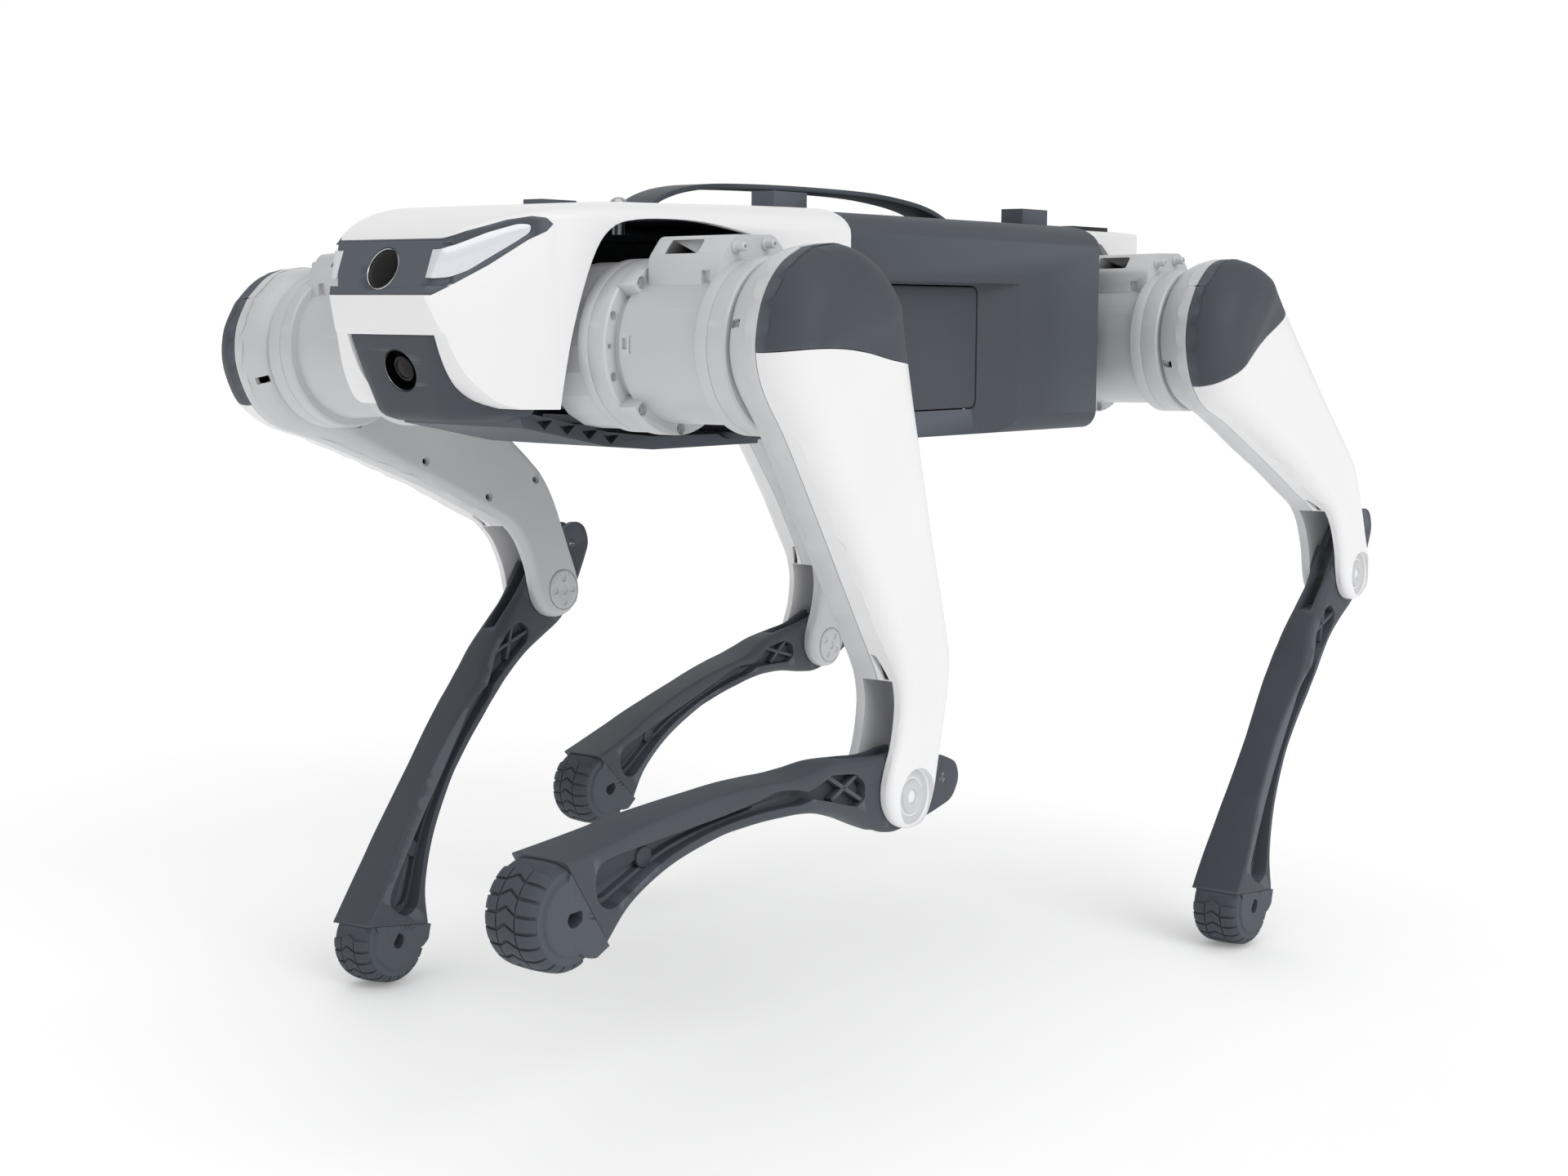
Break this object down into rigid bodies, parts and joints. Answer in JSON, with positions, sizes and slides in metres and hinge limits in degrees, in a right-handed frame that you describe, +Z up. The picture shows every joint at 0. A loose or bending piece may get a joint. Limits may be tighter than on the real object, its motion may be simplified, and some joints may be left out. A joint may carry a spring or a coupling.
{
  "type": "quadruped robot",
  "caption": "Walking robot dog in a trotting stance: white and slate shells, three motors in each leg, push-rod knees, rubber feet and a battery that slides out of its side.",
  "frame": {"origin": "on the floor, under the middle of the bounding box", "axes": "+Z up; the head points along -Y and the tail along +Y; the robot's left side, with the battery, is +X"},
  "size_m": [0.3716, 0.7012, 0.4029],
  "materials": {
    "white_shell": "satin white moulding",
    "slate_plastic": "fine matt texture, dark blue-grey",
    "motor_grey": "light grey, satin",
    "frame_alloy": "machined, dull",
    "lens_black": "glossy black window",
    "light_panel": "milky light window, unlit",
    "button_steel": "turned, bright",
    "foot_rubber": "matt, dark blue-grey"
  },
  "bodies": {
    "torso": {"chassis": "frame_alloy", "head_shell": "white_shell", "tail_shell": "white_shell", "mid_cover": "slate_plastic", "face_visor": "slate_plastic", "chin_guard": "slate_plastic", "upper_camera": "lens_black", "lower_camera": "lens_black", "light_left": "light_panel", "light_right": "light_panel", "belly_guard": "slate_plastic", "carry_strap": "slate_plastic", "payload_rail_left": "slate_plastic", "payload_rail_right": "slate_plastic", "roll_motor_fl": "motor_grey", "roll_motor_fr": "motor_grey", "roll_motor_rl": "motor_grey", "roll_motor_rr": "motor_grey"},
    "battery": {"battery_pack": "slate_plastic"},
    "power_button": {"power_button": "button_steel"},
    "hip_fl": {"hip_carrier_fl": "motor_grey", "hip_motor_fl": "motor_grey"},
    "thigh_fl": {"thigh_inner_fl": "motor_grey", "thigh_outer_fl": "white_shell", "thigh_cap_fl": "slate_plastic", "knee_axle_fl": "button_steel"},
    "knee_drive_fl": {"knee_drive_fl": "frame_alloy"},
    "shank_fl": {"shank_link_fl": "slate_plastic", "foot_fl": "foot_rubber"},
    "push_rod_fl": {"push_rod_fl": "frame_alloy"},
    "hip_fr": {"hip_carrier_fr": "motor_grey", "hip_motor_fr": "motor_grey"},
    "thigh_fr": {"thigh_inner_fr": "motor_grey", "thigh_outer_fr": "white_shell", "thigh_cap_fr": "slate_plastic", "knee_axle_fr": "button_steel"},
    "knee_drive_fr": {"knee_drive_fr": "frame_alloy"},
    "shank_fr": {"shank_link_fr": "slate_plastic", "foot_fr": "foot_rubber"},
    "push_rod_fr": {"push_rod_fr": "frame_alloy"},
    "hip_rl": {"hip_carrier_rl": "motor_grey", "hip_motor_rl": "motor_grey"},
    "thigh_rl": {"thigh_inner_rl": "motor_grey", "thigh_outer_rl": "white_shell", "thigh_cap_rl": "slate_plastic", "knee_axle_rl": "button_steel"},
    "knee_drive_rl": {"knee_drive_rl": "frame_alloy"},
    "shank_rl": {"shank_link_rl": "slate_plastic", "foot_rl": "foot_rubber"},
    "push_rod_rl": {"push_rod_rl": "frame_alloy"},
    "hip_rr": {"hip_carrier_rr": "motor_grey", "hip_motor_rr": "motor_grey"},
    "thigh_rr": {"thigh_inner_rr": "motor_grey", "thigh_outer_rr": "white_shell", "thigh_cap_rr": "slate_plastic", "knee_axle_rr": "button_steel"},
    "knee_drive_rr": {"knee_drive_rr": "frame_alloy"},
    "shank_rr": {"shank_link_rr": "slate_plastic", "foot_rr": "foot_rubber"},
    "push_rod_rr": {"push_rod_rr": "frame_alloy"}
  },
  "joints": [
    {"name": "hip_roll_fl", "type": "hinge", "parent": "torso", "child": "hip_fl", "pos_m": [0.06091, -0.17256, 0.32534], "axis": [0, -1, 0], "range_deg": [-20, 14]},
    {"name": "hip_pitch_fl", "type": "hinge", "parent": "hip_fl", "child": "thigh_fl", "pos_m": [0.15751, -0.17256, 0.32635], "axis": [0.9999, 0, 0.0105], "range_deg": [-76, 58]},
    {"name": "knee_fl", "type": "hinge", "parent": "thigh_fl", "child": "shank_fl", "pos_m": [0.15952, -0.11744, 0.13411], "axis": [-0.9999, 0, -0.0105], "range_deg": [-68.5, 39.5]},
    {"name": "crank_fl", "type": "hinge", "parent": "thigh_fl", "child": "knee_drive_fl", "pos_m": [0.15751, -0.17256, 0.32635], "axis": [-0.9999, 0, -0.0105], "range_deg": [-69.5, 40.5]},
    {"name": "rod_pivot_fl", "type": "hinge", "parent": "shank_fl", "child": "push_rod_fl", "pos_m": [0.1595, -0.08749, 0.13594], "axis": [-0.9999, 0, -0.0105], "range_deg": [-40.5, 69.5]},
    {"name": "hip_roll_fr", "type": "hinge", "parent": "torso", "child": "hip_fr", "pos_m": [-0.05909, -0.17256, 0.32534], "axis": [0, 1, 0], "range_deg": [-20, 14]},
    {"name": "hip_pitch_fr", "type": "hinge", "parent": "hip_fr", "child": "thigh_fr", "pos_m": [-0.15545, -0.17256, 0.3186], "axis": [0.9976, 0, 0.0698], "range_deg": [-109.6, 24.4]},
    {"name": "knee_fr", "type": "hinge", "parent": "thigh_fr", "child": "shank_fr", "pos_m": [-0.14641, -0.02026, 0.18929], "axis": [-0.9976, 0, -0.0698], "range_deg": [-53.1, 54.9]},
    {"name": "crank_fr", "type": "hinge", "parent": "thigh_fr", "child": "knee_drive_fr", "pos_m": [-0.15545, -0.17256, 0.3186], "axis": [-0.9976, 0, -0.0698], "range_deg": [-54.1, 55.9]},
    {"name": "rod_pivot_fr", "type": "hinge", "parent": "shank_fr", "child": "push_rod_fr", "pos_m": [-0.14807, -0.00199, 0.21303], "axis": [-0.9976, 0, -0.0698], "range_deg": [-55.9, 54.1]},
    {"name": "hip_roll_rl", "type": "hinge", "parent": "torso", "child": "hip_rl", "pos_m": [0.06091, 0.17284, 0.32534], "axis": [0, -1, 0], "range_deg": [-20, 14]},
    {"name": "hip_pitch_rl", "type": "hinge", "parent": "hip_rl", "child": "thigh_rl", "pos_m": [0.15749, 0.17284, 0.32719], "axis": [0.9998, 0, 0.0192], "range_deg": [-47.9, 52.1]},
    {"name": "knee_rl", "type": "hinge", "parent": "thigh_rl", "child": "shank_rl", "pos_m": [0.16007, 0.32123, 0.19313], "axis": [-0.9998, 0, -0.0192], "range_deg": [-49.7, 58.3]},
    {"name": "crank_rl", "type": "hinge", "parent": "thigh_rl", "child": "knee_drive_rl", "pos_m": [0.15749, 0.17284, 0.32719], "axis": [-0.9998, 0, -0.0192], "range_deg": [-50.7, 59.3]},
    {"name": "rod_pivot_rl", "type": "hinge", "parent": "shank_rl", "child": "push_rod_rl", "pos_m": [0.1596, 0.33878, 0.21746], "axis": [-0.9998, 0, -0.0192], "range_deg": [-59.3, 50.7]},
    {"name": "hip_roll_rr", "type": "hinge", "parent": "torso", "child": "hip_rr", "pos_m": [-0.05909, 0.17284, 0.32534], "axis": [0, 1, 0], "range_deg": [-20, 14]},
    {"name": "hip_pitch_rr", "type": "hinge", "parent": "hip_rr", "child": "thigh_rr", "pos_m": [-0.15569, 0.17284, 0.32466], "axis": [1, 0, 0.007], "range_deg": [-16.6, 83.4]},
    {"name": "knee_rr", "type": "hinge", "parent": "thigh_rr", "child": "shank_rr", "pos_m": [-0.15435, 0.22997, 0.133], "axis": [-1, 0, -0.007], "range_deg": [-55.3, 52.7]},
    {"name": "crank_rr", "type": "hinge", "parent": "thigh_rr", "child": "knee_drive_rr", "pos_m": [-0.15569, 0.17284, 0.32466], "axis": [-1, 0, -0.007], "range_deg": [-56.3, 53.7]},
    {"name": "rod_pivot_rr", "type": "hinge", "parent": "shank_rr", "child": "push_rod_rr", "pos_m": [-0.15441, 0.25862, 0.14192], "axis": [-1, 0, -0.007], "range_deg": [-53.7, 56.3]},
    {"name": "battery_slide", "type": "slide", "parent": "torso", "child": "battery", "axis": [-1, 0, 0], "range_m": [-0.15, 0]},
    {"name": "power_button_press", "type": "slide", "parent": "torso", "child": "power_button", "axis": [0, 0, -1], "range_m": [0, 0.0015], "stiffness_N_per_m": 500}
  ],
  "couplings": [
    {"joint": "crank_fl", "follows": "knee_fl", "ratio": 1},
    {"joint": "rod_pivot_fl", "follows": "knee_fl", "ratio": -1},
    {"joint": "crank_fr", "follows": "knee_fr", "ratio": 1},
    {"joint": "rod_pivot_fr", "follows": "knee_fr", "ratio": -1},
    {"joint": "crank_rl", "follows": "knee_rl", "ratio": 1},
    {"joint": "rod_pivot_rl", "follows": "knee_rl", "ratio": -1},
    {"joint": "crank_rr", "follows": "knee_rr", "ratio": 1},
    {"joint": "rod_pivot_rr", "follows": "knee_rr", "ratio": -1}
  ]
}
